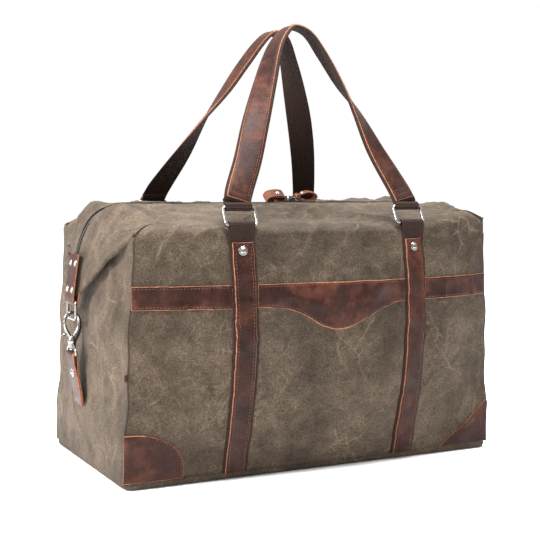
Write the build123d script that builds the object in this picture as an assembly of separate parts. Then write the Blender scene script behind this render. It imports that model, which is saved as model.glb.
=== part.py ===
"""Weekender bag: waxed canvas body, leather trim, two webbing handles on rings, and a two-way top zip.

Frame: origin on the ground under the middle of the bag, +X along its length, -Y is the pocket side,
+Z up. Everything is in millimetres. Canvas, leather and webbing are plain closed solids of the true
outer shape. The mouth is two hinged flaps that meet at the zip, with a fixed folded wing at each end.
"""
from build123d import *
import math
import os

# ---- body ----
HALF_LENGTH = 255.0      # end seams at the floor
END_TAPER = 0.045        # lean of the end seams, mm of X for each mm of height
HALF_DEPTH = 128.0       # the same seams along Y
FRONT_BULGE = 35.0       # how far the middle of the front stands out
BULGE_SPAN = 0.83        # the share of a half wave that it follows from floor to shoulder
END_BULGE = 14.0         # the same at each end
SHOULDER_Z = 300.0
CURL_START_Z = 290.0     # the front starts to turn over into the top
CURL_RISE = 13.5
HINGE_Y = 117.0          # where the turned-over top ends and the flap begins
HINGE_Z = 304.7
END_TOP_Z = 296.0        # top of the end panels at the corners
END_DIP = 36.0           # they are this much lower in the middle, hidden behind the folded wing
TRAY_RIM = 8.0           # the bottom panel turns up this far
PANEL_LOW_Z = 9.4        # the side panels start just above its rim
CANVAS = 1.6
LINING = 0.8
LINING_TOP_Z = 284.0
BOARD = (480.0, 236.0, 2.5)

# ---- top ----
RIDGE_Z = 324.0          # height of the zip
FLAP_HALF_LENGTH = 190.0
FLAP_EDGE_Y = 4.5        # canvas stops here, short of the zip
TAPE_EDGE_Y = 12.0
TEETH_EDGE_Y = 2.6
ZIP_GAP = 0.2
WING_START_X = 191.6     # the fixed wings begin here, clear of the flaps
WING_RIDGE = [
    (-WING_START_X, 0, RIDGE_Z), (-216, 0, 320), (-244, 0, 306), (-265, 0, 275), (-274.8, 0, 209.5),
]
WING_SIDE = [(-WING_START_X, -HINGE_Y, 305.4), (-225, -HINGE_Y, 305.4), (-244, -123, 301)]
WING_THICKNESS = 1.2
ZIP_END_DROP = 1.3       # the zip tape lies this far under the wing
ZIP_END_THICKNESS = 1.0

# ---- trim ----
STRAP_X = 118.0
WEBBING_WIDTH = 32.0
STRAP_LEATHER_WIDTH = 24.0
LAYER = 1.8              # webbing and leather thickness
LEATHER_TOP_Z = 282.0
WEBBING_TOP_Z = 289.0    # from here it leaves the canvas for the ring
BAND_LOW_Z = 206.4
BAND_HIGH_Z = 233.6
RIVET_RADIUS = 5.5
RIVET_HEAD = 1.2         # height of the flat head
RIVET_DOME_RADIUS = 3.41
RIVET_DOME = 0.8
RIVET_Z = 272.0

# ---- handle rings and handles ----
RING_WIRE = 2.0          # wire radius
RING_INNER = 36.0        # inside width
RING_X = 117.0
RING_CORNER = 3.2        # bend radius of the wire's middle line
RING_PIVOT = (145.5, 302.5)      # |y|, z of the lower bar
RING_SPAN = 22.4         # lower bar to upper bar
RING_LEAN = 63.0         # degrees above the ground, leaning inwards
HANDLE_WIDTH = 34.0
HANDLE_WEB = 2.4
TONGUE_START = 2.6       # the loop round the bar narrows to the strap between these heights
TONGUE_LENGTH = 11.0
HANDLE_LEATHER_WIDTH = 28.0
HANDLE_SECTIONS = 40
RUNNING_GAP = 0.3        # between a bar and the loop round it
HANDLE_APEX = (18.0, 549.0)      # |y|, z

# x, z and turn of the strap: 0 faces front at the left ring, 90 lies flat on top, 180 faces front
# again at the right ring
FRONT_HANDLE_ROUTE = [
    (-117, 328, 0), (-112, 340, 2), (-91, 378, 12), (-71, 420, 30), (-45, 472, 58), (-20, 518, 80),
    (0, 541, 92), (16, 549, 100), (34, 543, 102), (48, 518, 100), (64, 477, 108), (80, 436, 138),
    (94, 390, 166), (112, 344, 178), (117, 328, 180),
]
BACK_HANDLE_ROUTE = [
    (-117, 328, 0), (-112, 341, 4), (-88, 386, 26), (-66, 430, 62), (-44, 470, 86), (-24, 508, 92),
    (-7, 535, 90), (6, 545, 88), (22, 539, 90), (40, 512, 100), (60, 474, 122), (80, 432, 148),
    (98, 388, 168), (112, 346, 178), (117, 328, 180),
]

# ---- ends ----
TAB_WIDTH = 26.0
TAB_TOP_X = -272.2
TAB_TOP_Z = 262.0
DRING_X = 275.0
DRING_TOP_Z = 205.5
DRING_LOW_Z = 184.6
DRING_WIRE = 1.75
DRING_WIDTH = 31.0
HOOK_WIRE = 2.2
HOOK_RADIUS = 8.0
HOOK_CROWN_Z = 182.0
HOOK_THROAT_Z = 162.0
EYE_BAR_Z = 141.0
EYE_WIRE = 1.6
HOOK_STRAP_WIDTH = 26.0
HOOK_STRAP_END_X = -267.2
HOOK_STRAP_END_Z = 80.0

# ---- sliders ----
SLIDER_X = 6.0           # each slider this far from where the two meet
MEET_X = 24.0
PULL_Y = 6.0
PULL_BAR_Z = 330.0

STANDING = (Align.CENTER, Align.CENTER, Align.MIN)

parts = {}


def seam_x(z):
    return HALF_LENGTH - END_TAPER * z


def front_y(x, z):
    """Outer surface of the front panel: a barrel that dies out at the seams."""
    across = 1 - min(abs(x) / seam_x(z), 1) ** 3
    up = math.sin(BULGE_SPAN * math.pi * z / SHOULDER_Z)
    return -(HALF_DEPTH + FRONT_BULGE * across * up)


def front_point(u, v):
    """u runs -1..1 between the seams; v is the height up to the curl, then 0..1 of the curl on top."""
    if v <= CURL_START_Z:
        x = u * seam_x(v)
        return Vector(x, front_y(x, v), v)
    turn = (v - CURL_START_Z) * math.pi / 2
    z = CURL_START_Z + CURL_RISE * math.sin(turn)
    x = u * seam_x(z)
    start = front_y(x, CURL_START_Z)
    return Vector(x, start + (-HINGE_Y - start) * (1 - math.cos(turn)), z)


def surface(point, us, vs):
    grid = [[point(u, v) for v in vs] for u in us]
    return Face.make_surface_from_array_of_points(grid, min_deg=1, max_deg=3)


def steps(low, high, count):
    return [low + (high - low) * i / count for i in range(count + 1)]


def both_sides(shape, plane):
    return [shape, mirror(shape, about=plane)]


def four_corners(shape):
    return [copy for end in both_sides(shape, Plane.YZ) for copy in both_sides(end, Plane.XZ)]


def box_between(low, high):
    size = [b - a for a, b in zip(low, high)]
    centre = [(a + b) / 2 for a, b in zip(low, high)]
    return Pos(*centre) * Box(*size)


def rod(start, end, radius):
    path = Vector(*end) - Vector(*start)
    plane = Plane(origin=start, z_dir=path)
    return plane * Cylinder(radius, path.length, align=STANDING)


def wire_loop(points, wire_radius, corner):
    """A closed round-wire ring through flat corner points, with rounded corners."""
    path = FilletPolyline(*points, radius=corner, close=True)
    section = Plane(origin=path @ 0, z_dir=path % 0) * Circle(wire_radius)
    return sweep(section, path=path)


def skin(lift):
    """The front surface moved out by lift, as a face ready to be thickened."""
    out = Vector(0, -lift, 0.8 * lift)
    heights = steps(PANEL_LOW_Z, CURL_START_Z, 10) + [CURL_START_Z + t for t in (0.25, 0.5, 0.75, 1.0)]
    return surface(lambda u, v: front_point(u, v) + out, steps(-1, 1, 16), heights)


def front_layer(inner, thickness):
    """A sheet that follows the front, from inner to inner + thickness proud of the canvas."""
    return Solid.extrude(skin(inner), Vector(0, -thickness, 0.8 * thickness))


def cut_from(layer, sketch_face):
    """The piece of a layer inside an outline drawn in X and Z."""
    prism = extrude(Plane.XZ * sketch_face, amount=400)
    return layer & prism


def rectangle_xz(x0, x1, z0, z1):
    return Pos((x0 + x1) / 2, (z0 + z1) / 2) * Rectangle(x1 - x0, z1 - z0)


# ---- body panels ----

def make_body():
    canvas = Solid.extrude(skin(0), Vector(0, CANVAS, -0.8 * CANVAS))
    parts["front_panel"], parts["back_panel"] = both_sides(canvas, Plane.XZ)

    def end_point(v, share):
        top = END_TOP_Z - END_DIP * (1 - abs(v))
        z = PANEL_LOW_Z + share * (top - PANEL_LOW_Z)
        across = 1 - abs(v) ** 3
        up = math.sin(math.pi * z / END_TOP_Z)
        x = seam_x(z) + END_BULGE * across * max(up, 0)
        return Vector(-x, v * (HALF_DEPTH - CANVAS - 0.1), z)

    end = surface(end_point, steps(-1, 1, 12), steps(0, 1, 10))
    end = Solid.extrude(end, Vector(CANVAS, 0, 0))
    parts["left_end_panel"], parts["right_end_panel"] = both_sides(end, Plane.YZ)

    tray = Box(2 * HALF_LENGTH + 2, 2 * HALF_DEPTH + 4, TRAY_RIM, align=STANDING)
    tray = fillet(tray.edges().filter_by(Axis.Z), 6)
    hollow = Box(2 * (HALF_LENGTH - CANVAS), 2 * (HALF_DEPTH - CANVAS), TRAY_RIM, align=STANDING)
    parts["bottom_panel"] = tray - Pos(0, 0, CANVAS) * hollow

    floor_z = CANVAS + BOARD[2] + 0.4
    parts["base_board"] = Pos(0, 0, CANVAS) * Box(*BOARD, align=STANDING)
    half_x = seam_x(END_TOP_Z) - CANVAS - 0.4
    half_y = HALF_DEPTH - CANVAS - 2.4
    tub = box_between((-half_x, -half_y, floor_z), (half_x, half_y, LINING_TOP_Z))
    inner_x = half_x - LINING
    inner_y = half_y - LINING
    inside = box_between((-inner_x, -inner_y, floor_z + LINING), (inner_x, inner_y, LINING_TOP_Z + 1))
    parts["lining"] = tub - inside


# ---- top: flaps, wings and zip ----

def flap_z(y):
    """Height of the top canvas at a distance y from the zip, on the straight part."""
    slope = (RIDGE_Z - HINGE_Z - CANVAS / 2) / HINGE_Y
    return RIDGE_Z - slope * y


def strip(y0, y1, z_drop, thickness, half_length):
    """A flat strip of the front half of the top, from y0 to y1 away from the zip."""
    corners = [
        (-y1, flap_z(y1) - z_drop),
        (-y0, flap_z(y0) - z_drop),
        (-y0, flap_z(y0) - z_drop - thickness),
        (-y1, flap_z(y1) - z_drop - thickness),
    ]
    face = make_face(Polyline(*corners, close=True))
    return extrude(Plane.YZ * face, amount=half_length, both=True)


def make_top():
    flap = strip(FLAP_EDGE_Y, HINGE_Y, 0, CANVAS, FLAP_HALF_LENGTH)
    parts["front_top_flap"], parts["back_top_flap"] = both_sides(flap, Plane.XZ)

    tape = strip(ZIP_GAP, TAPE_EDGE_Y, CANVAS, 0.6, FLAP_HALF_LENGTH)
    teeth = strip(ZIP_GAP, TEETH_EDGE_Y, -0.4, 2.0, FLAP_HALF_LENGTH)
    zip_half = tape + teeth
    parts["front_zip_half"], parts["back_zip_half"] = both_sides(zip_half, Plane.XZ)

    ridge = Spline(*WING_RIDGE)
    side = Spline(*WING_SIDE)

    def wing_point(t, k):
        return (ridge @ t) * (1 - k) + (side @ t) * k

    def wing_sheet(start, end, near, far, drop, thickness):
        face = surface(wing_point, steps(start, end, 12), steps(near, far, 6))
        inward = Vector(1, 0, -1)
        return Solid.extrude(face.moved(Pos(inward * drop)), inward * thickness)

    gap = FLAP_EDGE_Y / HINGE_Y
    front_wing = wing_sheet(0, 1, gap, 1, 0, WING_THICKNESS)
    wing = Compound(children=both_sides(front_wing, Plane.XZ))
    parts["left_wing"], parts["right_wing"] = both_sides(wing, Plane.YZ)
    zip_end = wing_sheet(0.02, 0.8, 0.002, TAPE_EDGE_Y / HINGE_Y, ZIP_END_DROP, ZIP_END_THICKNESS)
    parts["zip_ends"] = Compound(children=four_corners(zip_end))


# ---- trim on the front and back ----

def corner_patch():
    """Quarter-round reinforcement at the foot of the left seam, in X and Z."""
    seam_low = seam_x(TRAY_RIM)
    seam_high = seam_x(64)
    outline = [
        Line((-seam_low, TRAY_RIM), (-seam_high, 64)),
        Spline((-seam_high, 64), (-212, 58), (-186, TRAY_RIM), tangents=((1, 0.02), (0.15, -1))),
        Line((-186, TRAY_RIM), (-seam_low, TRAY_RIM)),
    ]
    return make_face(outline)


def band_centre():
    """The middle of the band, whose lower edge drops in a wave like a yoke."""
    inner = STRAP_X - WEBBING_WIDTH / 2
    dip = [(-69, 205), (-42, 196), (-17, 182), (4, 176), (25, 180), (56, 194)]
    wave = Spline((-inner, BAND_LOW_Z), *dip, (inner, BAND_LOW_Z), tangents=((1, 0), (1, 0)))
    outline = [
        wave,
        Line((inner, BAND_LOW_Z), (inner, BAND_HIGH_Z)),
        Line((inner, BAND_HIGH_Z), (-inner, BAND_HIGH_Z)),
        Line((-inner, BAND_HIGH_Z), (-inner, BAND_LOW_Z)),
    ]
    return make_face(outline)


def rivet(point, outward):
    """A domed tubular rivet standing on the leather."""
    plane = Plane(origin=point, z_dir=outward)
    head = Cylinder(RIVET_RADIUS, RIVET_HEAD, align=STANDING)
    dome = Cylinder(RIVET_DOME_RADIUS, RIVET_DOME, align=STANDING)
    return plane * (head + Pos(0, 0, RIVET_HEAD) * dome)


def strap_anchor(x):
    """Webbing from the front panel up to the ring's lower bar and round it."""
    ring_y, ring_z = -RING_PIVOT[0], RING_PIVOT[1]
    foot_y = front_y(x, CURL_START_Z) - 0.5
    centre = Pos(ring_y, ring_z)
    outer = RING_WIRE + RUNNING_GAP + LAYER
    tongue = make_face(Polyline(
        (foot_y - LAYER - 1, WEBBING_TOP_Z - 1), (foot_y, WEBBING_TOP_Z - 1),
        (ring_y - 2.2, ring_z), (ring_y - outer, ring_z), close=True,
    ))
    loop = centre * Circle(outer)
    profile = loop + tongue - centre * Circle(RING_WIRE + RUNNING_GAP)
    return Pos(x, 0, 0) * extrude(Plane.YZ * profile, amount=WEBBING_WIDTH / 2, both=True)


def make_trim():
    webbing_layer = front_layer(0, LAYER)
    leather_layer = front_layer(LAYER, LAYER)
    band_layer = front_layer(0, LAYER)
    half_web = WEBBING_WIDTH / 2
    half_leather = STRAP_LEATHER_WIDTH / 2

    rivets = []
    for side, x in (("left", -STRAP_X), ("right", STRAP_X)):
        web = cut_from(webbing_layer, rectangle_xz(x - half_web, x + half_web, TRAY_RIM, WEBBING_TOP_Z))
        web = web + strap_anchor(x)
        outline = rectangle_xz(x - half_leather, x + half_leather, TRAY_RIM, LEATHER_TOP_Z)
        leather = cut_from(leather_layer, outline)
        tilt_x = (front_y(x + 1, RIVET_Z) - front_y(x - 1, RIVET_Z)) / 2
        tilt_z = (front_y(x, RIVET_Z + 1) - front_y(x, RIVET_Z - 1)) / 2
        head = rivet((x, front_y(x, RIVET_Z) - 2 * LAYER - 0.9, RIVET_Z), (tilt_x, -1, tilt_z))
        for name, shape in (("webbing", web), ("strap_leather", leather)):
            front, back = both_sides(shape, Plane.XZ)
            parts[f"front_{side}_{name}"] = front
            parts[f"back_{side}_{name}"] = back
        rivets += both_sides(head, Plane.XZ)
    parts["strap_rivets"] = Compound(children=rivets)

    pocket_half = STRAP_X - half_web
    pocket = rectangle_xz(-pocket_half, pocket_half, TRAY_RIM, BAND_LOW_Z - 32)
    parts["front_pocket_panel"] = cut_from(front_layer(0, 1.0), pocket)
    band_edge = seam_x(BAND_LOW_Z) - 0.4
    band_left = cut_from(band_layer, rectangle_xz(-band_edge, -STRAP_X - half_web, BAND_LOW_Z, BAND_HIGH_Z))
    parts["band_left"], parts["band_right"] = both_sides(band_left, Plane.YZ)
    parts["band_centre"] = cut_from(band_layer, band_centre())
    plain = rectangle_xz(-pocket_half, pocket_half, BAND_LOW_Z, BAND_HIGH_Z)
    back_bands = [band_left, mirror(band_left, about=Plane.YZ), cut_from(band_layer, plain)]
    parts["back_bands"] = Compound(children=[mirror(b, about=Plane.XZ) for b in back_bands])

    patch = cut_from(band_layer, corner_patch())
    parts["front_left_corner"], parts["front_right_corner"] = both_sides(patch, Plane.YZ)
    back_patches = [mirror(p, about=Plane.XZ) for p in both_sides(patch, Plane.YZ)]
    parts["back_corners"] = Compound(children=back_patches)

    tag_x = -seam_x(130)
    tag_y = -HALF_DEPTH
    parts["seam_tag"] = box_between((tag_x - 9, tag_y - 1.7, 124), (tag_x + 0.3, tag_y - 0.1, 136))


# ---- rings and handles ----

def ring_points(x):
    """Corners of a handle ring: lower bar on the pivot, upper bar leaning in over the bag."""
    lean = math.radians(RING_LEAN)
    y0, z0 = -RING_PIVOT[0], RING_PIVOT[1]
    y1 = y0 + RING_SPAN * math.cos(lean)
    z1 = z0 + RING_SPAN * math.sin(lean)
    half = RING_INNER / 2 + RING_WIRE
    return [(x - half, y0, z0), (x + half, y0, z0), (x + half, y1, z1), (x - half, y1, z1)]


def handle_centre(x, z):
    """A point of the handle's middle line, on the plane that leans in from the ring to the apex."""
    _, y_bar, z_bar = ring_points(0)[2]
    share = (z - z_bar) / (HANDLE_APEX[1] - z_bar)
    return Vector(x, y_bar + share * (-HANDLE_APEX[0] - y_bar), z)


def handle_strip(route, width, low, high, skipped):
    """A ribbon along the route, from low to high off its middle surface, turning as the route says.

    It leaves out the given number of sections at each end.
    """
    centres = [handle_centre(x, z) for x, z, _ in route]
    up = (handle_centre(0, 400) - handle_centre(0, 300)).normalized()
    line = Spline(*centres, tangents=(up, -up))
    knots = [line.param_at_point(c) for c in centres]
    turns = [turn for _, _, turn in route]

    def turn_at(t):
        i = max(k for k in range(len(knots) - 1) if knots[k] <= t + 1e-6)
        share = (t - knots[i]) / (knots[i + 1] - knots[i])
        share = share * share * (3 - 2 * share)
        return math.radians(turns[i] + share * (turns[i + 1] - turns[i]))

    sections = []
    for t in steps(0, 1, HANDLE_SECTIONS)[skipped:HANDLE_SECTIONS + 1 - skipped]:
        tangent = line % t
        across = Vector(math.cos(turn_at(t)), -math.sin(turn_at(t)), 0)
        across = (across - tangent * across.dot(tangent)).normalized()
        outward = across.cross(tangent)
        middle = line @ t
        corners = [
            middle + across * (width / 2 * a) + outward * offset
            for a, offset in ((-1, low), (1, low), (1, high), (-1, high))
        ]
        sections.append(Wire.make_polygon(corners, close=True))
    return Solid.make_loft(sections, ruled=True)


def handle_anchor(x):
    """The end of the handle: webbing round the ring's upper bar, drawn up flat above it."""
    _, y_bar, z_bar = ring_points(x)[2]
    start = handle_centre(x, FRONT_HANDLE_ROUTE[0][1])
    centre = Pos(y_bar, z_bar)
    outer = RING_WIRE + RUNNING_GAP + HANDLE_WEB
    lean = Vector(0, start.Y - y_bar, start.Z - z_bar).normalized()
    square = Vector(0, lean.Z, -lean.Y)
    bar = Vector(0, y_bar, z_bar)
    tip = bar + lean * TONGUE_LENGTH
    root = bar + lean * TONGUE_START
    wide = square * (outer * 0.8)
    thin = square * (HANDLE_WEB / 2)
    outline = [root + wide, root - wide, tip - thin, tip + thin]
    tongue = make_face(Polyline(*[(p.Y, p.Z) for p in outline], close=True))
    profile = centre * Circle(outer) + tongue - centre * Circle(RING_WIRE + RUNNING_GAP)
    return Pos(x, 0, 0) * extrude(Plane.YZ * profile, amount=HANDLE_WIDTH / 2, both=True)


def make_handles():
    for side, x in (("left", -RING_X), ("right", RING_X)):
        ring = wire_loop(ring_points(x), RING_WIRE, RING_CORNER)
        parts[f"front_{side}_ring"], parts[f"back_{side}_ring"] = both_sides(ring, Plane.XZ)

    for name, route in (("front", FRONT_HANDLE_ROUTE), ("back", BACK_HANDLE_ROUTE)):
        half = HANDLE_WEB / 2
        webbing = handle_strip(route, HANDLE_WIDTH, -half, half, 0)
        webbing = webbing + handle_anchor(-RING_X) + handle_anchor(RING_X)
        leather = handle_strip(route, HANDLE_LEATHER_WIDTH, half, half + LAYER, 1)
        if name == "back":
            webbing = mirror(webbing, about=Plane.XZ)
            leather = mirror(leather, about=Plane.XZ)
        parts[f"{name}_handle_webbing"] = webbing
        parts[f"{name}_handle_leather"] = leather


# ---- ends: tab, D-ring, hook and its strap, built for the left end ----

def folded_strap(bar, bar_radius, thickness, outer_top, inner_top, width):
    """A leather strip folded round a bar along Y; its two tails go to the given X, Z points."""
    x, z = bar
    centre = Pos(x, z)
    hole = centre * Circle(bar_radius)
    round_end = centre * Circle(bar_radius + thickness)
    reach = bar_radius + thickness
    outer_tail = make_face(Polyline(
        (x - reach, z), (x - bar_radius, z), (outer_top[0] + thickness, outer_top[1]), outer_top, close=True
    ))
    inner_tail = make_face(Polyline(
        (x + bar_radius, z), (x + reach, z), inner_top, (inner_top[0] - thickness, inner_top[1]), close=True
    ))
    keep = 1 if outer_top[1] > z else -1
    far_half = Pos(x, z - keep * reach) * Rectangle(2 * reach + 1, 2 * reach)
    profile = (round_end & far_half) + outer_tail + inner_tail - hole
    return extrude(Plane.XZ * profile, amount=width / 2, both=True)


def make_left_end():
    """Solids of the left end by name, to be mirrored for the right."""
    end = {}
    x = -DRING_X
    tab_top = (TAB_TOP_X, TAB_TOP_Z)
    end["end_tab"] = folded_strap(
        (x, DRING_TOP_Z), DRING_WIRE + RUNNING_GAP, LAYER, tab_top, (-265.0, 229), TAB_WIDTH
    )
    half = DRING_WIDTH / 2
    dring = [(-half, DRING_TOP_Z), (half, DRING_TOP_Z), (half, DRING_LOW_Z), (-half, DRING_LOW_Z)]
    end["end_ring"] = wire_loop([(x, y, z) for y, z in dring], DRING_WIRE, 3.5)

    back = (x + HOOK_RADIUS, 0, HOOK_CROWN_Z)
    crown = (x, 0, HOOK_CROWN_Z + HOOK_RADIUS)
    nose = (x - HOOK_RADIUS, 0, HOOK_CROWN_Z)
    path = (
        Line((x + HOOK_RADIUS, 0, HOOK_THROAT_Z - 1), back)
        + ThreePointArc(back, crown, nose)
        + Line(nose, (x - HOOK_RADIUS, 0, HOOK_CROWN_Z - 1.5))
    )
    jaw = sweep(Plane(origin=path @ 0, z_dir=path % 0) * Circle(HOOK_WIRE), path=path)
    shoulder = box_between((x - 10.4, -2.6, 155.5), (x + 10.4, 2.6, HOOK_THROAT_Z))
    shoulder = fillet(shoulder.edges().filter_by(Axis.Y), 2)
    stem = rod((x, 0, 146), (x, 0, 156.5), 2.0)
    head = rod((x, 0, 145), (x, 0, 148.4), 3.4)
    end["hook"] = jaw + shoulder + stem + head
    gate_x = x - HOOK_RADIUS
    gate = rod((gate_x, 0, HOOK_THROAT_Z + 1), (gate_x, 0, HOOK_CROWN_Z - 1.9), 1.7)
    lever = rod((gate_x - 1, 0, HOOK_THROAT_Z + 5), (gate_x - 5, 0, HOOK_THROAT_Z + 3), 1.2)
    end["hook_gate"] = gate + lever

    boss = rod((x, 0, 149), (x, 0, 154.9), 4.6)
    eye = [(-6, 151.5), (6, 151.5), (15.5, 147), (15.5, EYE_BAR_Z), (-15.5, EYE_BAR_Z), (-15.5, 147)]
    loop = wire_loop([(x, y, z) for y, z in eye], EYE_WIRE, 2)
    stem_hole = rod((x, 0, 148), (x, 0, 156), 2.35)
    head_room = rod((x, 0, 144), (x, 0, 148.9), 3.8)
    end["swivel_eye"] = (boss + loop) - stem_hole - head_room
    outer_end = (HOOK_STRAP_END_X, HOOK_STRAP_END_Z)
    end["hook_strap"] = folded_strap(
        (x, EYE_BAR_Z), EYE_WIRE + 0.1, LAYER, outer_end, (-263.5, 84), HOOK_STRAP_WIDTH
    )
    return end


def rivet_on_tail(bar_z, reach, end, y, z):
    """A rivet on the outer face of a folded strap's outer tail, at the given height."""
    x_bar = -DRING_X - reach
    slope = (end[0] - x_bar) / (end[1] - bar_z)
    x = x_bar + slope * (z - bar_z)
    return rivet((x - 0.2, y, z), (-1, 0, slope))


def make_ends():
    for name, shape in make_left_end().items():
        parts[f"left_{name}"], parts[f"right_{name}"] = both_sides(shape, Plane.YZ)
    tab = (DRING_TOP_Z, DRING_WIRE + RUNNING_GAP + LAYER, (TAB_TOP_X, TAB_TOP_Z))
    strap = (EYE_BAR_Z, EYE_WIRE + 0.1 + LAYER, (HOOK_STRAP_END_X, HOOK_STRAP_END_Z))
    heads = [rivet_on_tail(*tab, y, z) for y in (-7, 7) for z in (220, 252)]
    heads.append(rivet_on_tail(*strap, 0, 118))
    rivets = [side for head in heads for side in both_sides(head, Plane.YZ)]
    parts["end_rivets"] = Compound(children=rivets)


# ---- sliders, their links and leather pulls ----

def make_slider(direction):
    """One slider on the back half of the zip; direction is -1 for the left one, +1 for the right."""
    x = MEET_X + direction * SLIDER_X
    top = flap_z(0.4) + 0.4
    plate = box_between((x - 5.2, 0.4, top + RUNNING_GAP), (x + 5.2, 9, top + 2))
    bail = box_between((x - 4, PULL_Y - 1.2, top + 1.8), (x + 4, PULL_Y + 1.2, PULL_BAR_Z + 2.4))
    window = box_between((x - 2.6, 0, PULL_BAR_Z - 1.2), (x + 2.6, 12, PULL_BAR_Z + 1.2))
    slider = plate + bail - window

    far = x + direction * 11
    link = wire_loop(
        [(x, PULL_Y - 4.4, PULL_BAR_Z), (x, PULL_Y + 4.4, PULL_BAR_Z),
         (far, PULL_Y + 4.4, PULL_BAR_Z), (far, PULL_Y - 4.4, PULL_BAR_Z)], 0.8, 1.5
    )
    tail_x = far + direction * 22
    centre = Pos(far, PULL_BAR_Z)
    outline = centre * Circle(2.3)
    legs = make_face(Polyline(
        (far, PULL_BAR_Z - 2.3), (tail_x, PULL_BAR_Z - 1.5),
        (tail_x, PULL_BAR_Z + 1.5), (far, PULL_BAR_Z + 2.3), close=True,
    ))
    profile = outline + legs - centre * Circle(0.9)
    leather = Pos(0, PULL_Y, 0) * extrude(Plane.XZ * profile, amount=3.4, both=True)
    return slider, link, leather


def make_sliders():
    for side, direction in (("left", -1), ("right", 1)):
        slider, link, leather = make_slider(direction)
        parts[f"{side}_slider"] = slider
        parts[f"{side}_pull_link"] = link
        parts[f"{side}_pull_leather"] = leather


def main():
    make_body()
    make_top()
    make_trim()
    make_handles()
    make_ends()
    make_sliders()
    os.makedirs("parts", exist_ok=True)
    for name, shape in parts.items():
        export_step(shape, f"parts/{name}.step")
    print(len(parts), "parts")


main()
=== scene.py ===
"""The weekender bag in waxed canvas, pull-up leather, webbing and nickel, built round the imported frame."""

import math

import bpy
import numpy as np
from mathutils import Matrix, Vector, noise


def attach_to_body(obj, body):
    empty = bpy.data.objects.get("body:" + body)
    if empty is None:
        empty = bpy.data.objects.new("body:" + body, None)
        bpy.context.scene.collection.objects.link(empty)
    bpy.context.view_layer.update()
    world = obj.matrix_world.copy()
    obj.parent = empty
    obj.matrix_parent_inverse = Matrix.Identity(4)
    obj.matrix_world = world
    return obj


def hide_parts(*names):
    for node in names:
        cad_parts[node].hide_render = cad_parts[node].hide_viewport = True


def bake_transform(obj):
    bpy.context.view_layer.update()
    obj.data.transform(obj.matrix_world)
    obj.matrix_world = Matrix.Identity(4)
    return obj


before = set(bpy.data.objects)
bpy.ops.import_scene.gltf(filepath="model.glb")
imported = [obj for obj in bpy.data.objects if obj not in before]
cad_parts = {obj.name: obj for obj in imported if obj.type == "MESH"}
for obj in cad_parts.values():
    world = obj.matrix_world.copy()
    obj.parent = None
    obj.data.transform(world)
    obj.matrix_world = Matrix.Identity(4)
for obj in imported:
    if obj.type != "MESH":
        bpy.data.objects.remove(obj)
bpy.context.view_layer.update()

# Sizes in millimetres, as the parts hold them; meshes are scaled to metres when they are made.
MM = 0.001
HALF_LENGTH = 257.5      # at the floor; the ends lean in by END_TAPER
END_TAPER = 0.045
HALF_DEPTH = 128.0
FRONT_BULGE = 35.0
END_BULGE = 11.0
FOOT_Z = 8.5             # the panels start here, on the turned-up base
SHOULDER_Z = 300.0
CURL_START_Z = 290.0
CURL_RISE = 13.5
HINGE_Y = 117.0          # the shoulder line that each half of the top turns about
HINGE_Z = 303.4
RIDGE_Z = 324.0
END_TOP_Z = 296.0
END_DIP = 36.0
SEAM_TOP_Z = 286.0
SEAM_GROOVE = 1.6
CANVAS_THICKNESS = 1.4
WING_START_X = 191.6
CORNER_DROP = 8.0
RIGHT_SWELL = 13.0       # the right end of the top stands fuller, from the first to the second SWELL_X
SWELL_X = (110, 225)
STRAP_X = 118.0
STRAP_STITCH_X = 9.6     # stitch lines, from the middle of a strap and of a handle
HANDLE_STITCH_X = 11.2
BAND_LOW_Z = 206.4
BAND_HIGH_Z = 233.6
LEATHER_TOP_Z = 282.0
WEB_LAYER = (0.1, 2.0)   # each trim layer's inner and outer face, out from the canvas
HIDE_LAYER = (1.9, 4.0)
BAND_LAYER = (0.1, 2.2)
CORNER_LAYER = (0.1, 2.4)
HANDLE_HIDE_TOP = 3.2
RING_X = 117.0
RING_BAR = (135.3, 322.5)        # |y|, z of the bar that a handle hangs from
HANDLE_APEX = (18.0, 549.0)
DRING = (-275.0, 205.5)          # x, z of the end ring's top bar
EYE_BAR = (-275.0, 141.0)
TEETH_PITCH = 2.6
TEETH_START = 42.0       # along the zip from each end of its line

CAMERA_ANGLES = (-27.36, 4.84, 0.49)        # azimuth, elevation and roll, degrees
CAMERA_PLACE = (-0.7011, -1.3453, 0.3633)   # metres
CAMERA_LENS = 76.95

# The canvas's unevenness: height and width of each kind, and its shift in the noise.
SLACK = ((4.2, 95.0, 0), (1.8, 38.0, 7))
SOFT_FOLDS = ((2.0, 80.0, 3), (1.1, 42.0, 5))
CRUMPLE = (1.9, 62.0, 11)
MEAN_RELIEF = 0.9

SIDES = ("front", "back")
OUTWARD = {"front": -1, "back": 1}
FOLD_SEED = {"front": 0.0, "back": 40.0}
STRAPS = (("left", -STRAP_X), ("right", STRAP_X))

# The zip line and the shoulder line over the right wing, X, Y, Z.
RIDGE_END = [(WING_START_X, 0, RIDGE_Z), (216, 0, 322), (246, 0, 307.5), (265, 0, 276), (272, 0, 240),
             (274.8, 0, 209.5)]
SIDE_END = [(WING_START_X, -HINGE_Y, HINGE_Z), (224, -HINGE_Y - 0.5, 302.6), (244.0, -126.5, 292.5)]

# The centre band's lower edge, X and Z.
WAVE = [(-102, 206.4), (-88, 206.2), (-69, 204.5), (-42, 196), (-17, 181.5), (4, 176), (25, 179.5), (56, 194),
        (84, 204.5), (102, 206.4)]

# A domed rivet's radius and height.
RIVET = [(5.6, -0.6), (5.7, 0.2), (5.3, 0.9), (4.4, 1.15), (4.0, 0.95), (3.7, 1.1), (3.0, 1.9), (1.6, 2.45),
         (0.2, 2.6)]

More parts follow.
